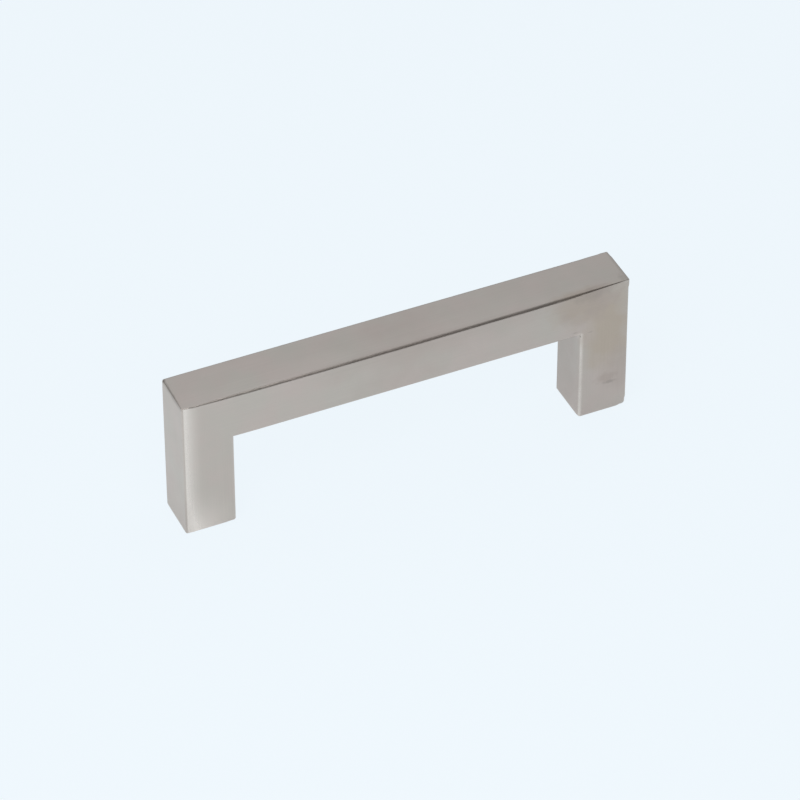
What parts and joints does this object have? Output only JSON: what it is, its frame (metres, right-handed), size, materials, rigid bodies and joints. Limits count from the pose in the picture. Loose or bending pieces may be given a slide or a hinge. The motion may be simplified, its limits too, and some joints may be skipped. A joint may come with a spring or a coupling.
{
  "type": "bar handle",
  "caption": "Square arch-shaped bar handle with soft edges, screwed from behind a drawer front or door through a tapped hole in each foot.",
  "frame": {"origin": "midway between the two feet, in the plane of the panel that they stand on", "axes": "+X along the bar, +Y across the bar, +Z away from the panel, towards the grip face"},
  "size_m": [0.108, 0.0116, 0.036],
  "materials": {
    "satin_nickel": "satin"
  },
  "bodies": {
    "root": {"handle": "satin_nickel"}
  },
  "joints": []
}
